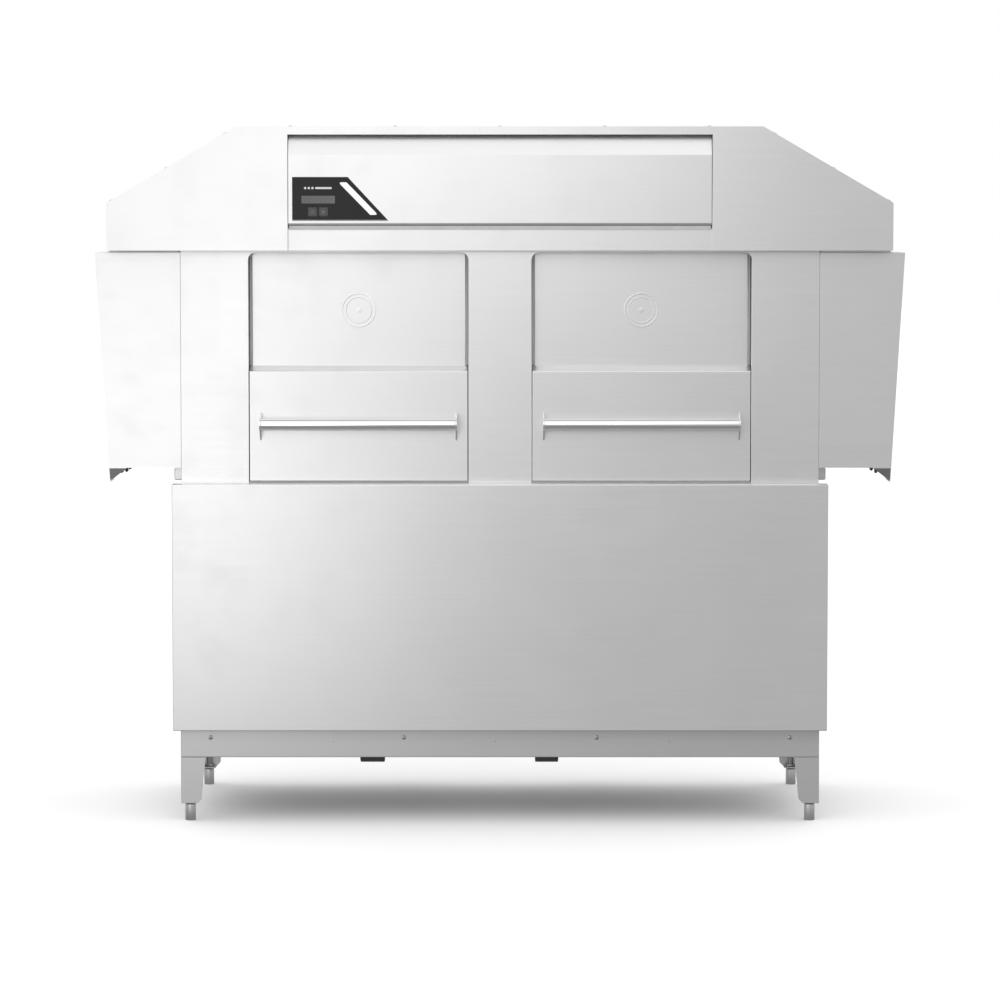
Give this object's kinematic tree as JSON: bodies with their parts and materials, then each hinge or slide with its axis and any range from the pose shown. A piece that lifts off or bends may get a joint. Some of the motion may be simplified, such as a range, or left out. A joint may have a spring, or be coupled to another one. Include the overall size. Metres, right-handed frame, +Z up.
{
  "type": "commercial dishwasher",
  "caption": "Rack-conveyor dishwasher in satin steel with lifting front doors, tube handles, sloped hood, end splash shields and levelling legs; washes racks of dishes in a tunnel.",
  "frame": {"origin": "on the floor under the middle of the machine", "axes": "+X along the rack path from the loading end to the unloading end, -Y towards the operator and the doors, +Z up"},
  "size_m": [2.115, 0.84, 1.8238],
  "materials": {
    "cladding_steel": "satin grain",
    "chamber_steel": "satin mill finish",
    "handle_steel": "polished tube",
    "foot_steel": "turned",
    "pump_casting": "black paint on casting",
    "drain_plastic": "moulded grey",
    "panel_black": "overlay film",
    "button_grey": "moulded",
    "curtain_rubber": "flexible strip"
  },
  "bodies": {
    "machine": {"base_frame": "cladding_steel", "front_panel": "cladding_steel", "side_panel_left": "cladding_steel", "side_panel_right": "cladding_steel", "rear_panel": "cladding_steel", "front_frame": "cladding_steel", "door_rail_left": "chamber_steel", "door_rail_centre": "chamber_steel", "door_rail_right": "chamber_steel", "chamber_liner": "chamber_steel", "end_frame_left": "cladding_steel", "end_frame_right": "cladding_steel", "tank_left": "chamber_steel", "tank_right": "chamber_steel", "strainer_left": "chamber_steel", "strainer_right": "chamber_steel", "pump_left": "pump_casting", "pump_right": "pump_casting", "drain_pipe_left": "drain_plastic", "drain_pipe_right": "drain_plastic", "wash_arms_upper_left": "chamber_steel", "wash_arms_upper_right": "chamber_steel", "wash_arms_lower_left": "chamber_steel", "wash_arms_lower_right": "chamber_steel", "rinse_arm_upper": "chamber_steel", "rinse_arm_lower": "chamber_steel", "booster_heater": "chamber_steel", "rack_guide_front": "chamber_steel", "rack_guide_rear": "chamber_steel", "gearmotor": "pump_casting", "hood_front": "cladding_steel", "hood_shell": "cladding_steel", "control_fascia": "cladding_steel", "control_panel": "panel_black", "end_shield_left": "cladding_steel", "end_shield_right": "cladding_steel", "leg_front_left": "cladding_steel", "leg_front_right": "cladding_steel", "leg_rear_left": "cladding_steel", "leg_rear_right": "cladding_steel"},
    "foot_front_left": {"foot_front_left": "foot_steel"},
    "foot_front_right": {"foot_front_right": "foot_steel"},
    "foot_rear_left": {"foot_rear_left": "foot_steel"},
    "foot_rear_right": {"foot_rear_right": "foot_steel"},
    "door_left": {"door_skin_left": "cladding_steel", "door_liner_left": "chamber_steel", "door_handle_left": "handle_steel"},
    "door_right": {"door_skin_right": "cladding_steel", "door_liner_right": "chamber_steel", "door_handle_right": "handle_steel"},
    "button_left": {"button_left": "button_grey"},
    "button_right": {"button_right": "button_grey"},
    "drive_lever": {"drive_lever": "chamber_steel"},
    "conveyor_carriage": {"conveyor_carriage": "chamber_steel"},
    "pawl_left": {"pawl_left": "chamber_steel"},
    "pawl_right": {"pawl_right": "chamber_steel"},
    "standpipe_left": {"standpipe_left": "chamber_steel"},
    "standpipe_right": {"standpipe_right": "chamber_steel"},
    "strip_curtain_left": {"strip_curtain_left": "curtain_rubber"},
    "strip_curtain_right": {"strip_curtain_right": "curtain_rubber"}
  },
  "joints": [
    {"name": "foot_front_left_screw", "type": "slide", "parent": "machine", "child": "foot_front_left", "axis": [0, 0, -1], "range_m": [0, 0.03]},
    {"name": "foot_front_right_screw", "type": "slide", "parent": "machine", "child": "foot_front_right", "axis": [0, 0, -1], "range_m": [0, 0.03]},
    {"name": "foot_rear_left_screw", "type": "slide", "parent": "machine", "child": "foot_rear_left", "axis": [0, 0, -1], "range_m": [0, 0.03]},
    {"name": "foot_rear_right_screw", "type": "slide", "parent": "machine", "child": "foot_rear_right", "axis": [0, 0, -1], "range_m": [0, 0.03]},
    {"name": "door_left_lift", "type": "slide", "parent": "machine", "child": "door_left", "axis": [0, 0, 1], "range_m": [0, 0.29]},
    {"name": "door_right_lift", "type": "slide", "parent": "machine", "child": "door_right", "axis": [0, 0, 1], "range_m": [0, 0.29]},
    {"name": "button_left_press", "type": "slide", "parent": "machine", "child": "button_left", "axis": [0, 1, 0], "range_m": [0, 0.0015], "stiffness_N_per_m": 600},
    {"name": "button_right_press", "type": "slide", "parent": "machine", "child": "button_right", "axis": [0, 1, 0], "range_m": [0, 0.0015], "stiffness_N_per_m": 600},
    {"name": "drive_lever_rock", "type": "hinge", "parent": "machine", "child": "drive_lever", "pos_m": [0.64, -0.33, 0.4], "axis": [0, 1, 0], "range_deg": [-9.4, 9.4]},
    {"name": "carriage_stroke", "type": "slide", "parent": "machine", "child": "conveyor_carriage", "axis": [1, 0, 0], "range_m": [-0.0745, 0.0745]},
    {"name": "pawl_left_tilt", "type": "hinge", "parent": "conveyor_carriage", "child": "pawl_left", "pos_m": [-0.35, -0.201, 0.888], "axis": [0, 1, 0], "range_deg": [0, 28], "stiffness_Nm_per_rad": 0.3, "springref_deg": -8.59},
    {"name": "pawl_right_tilt", "type": "hinge", "parent": "conveyor_carriage", "child": "pawl_right", "pos_m": [0.35, -0.201, 0.888], "axis": [0, 1, 0], "range_deg": [0, 28], "stiffness_Nm_per_rad": 0.3, "springref_deg": -8.59},
    {"name": "standpipe_left_lift", "type": "slide", "parent": "machine", "child": "standpipe_left", "axis": [0, 0, 1], "range_m": [0, 0.3]},
    {"name": "standpipe_right_lift", "type": "slide", "parent": "machine", "child": "standpipe_right", "axis": [0, 0, 1], "range_m": [0, 0.3]},
    {"name": "strip_curtain_left_swing", "type": "hinge", "parent": "machine", "child": "strip_curtain_left", "pos_m": [-1, 0, 1.384], "axis": [0, 1, 0], "range_deg": [-28, 28]},
    {"name": "strip_curtain_right_swing", "type": "hinge", "parent": "machine", "child": "strip_curtain_right", "pos_m": [1, 0, 1.384], "axis": [0, 1, 0], "range_deg": [-28, 28]}
  ],
  "couplings": [
    {"joint": "carriage_stroke", "follows": "drive_lever_rock", "m_per_rad": 0.45}
  ]
}
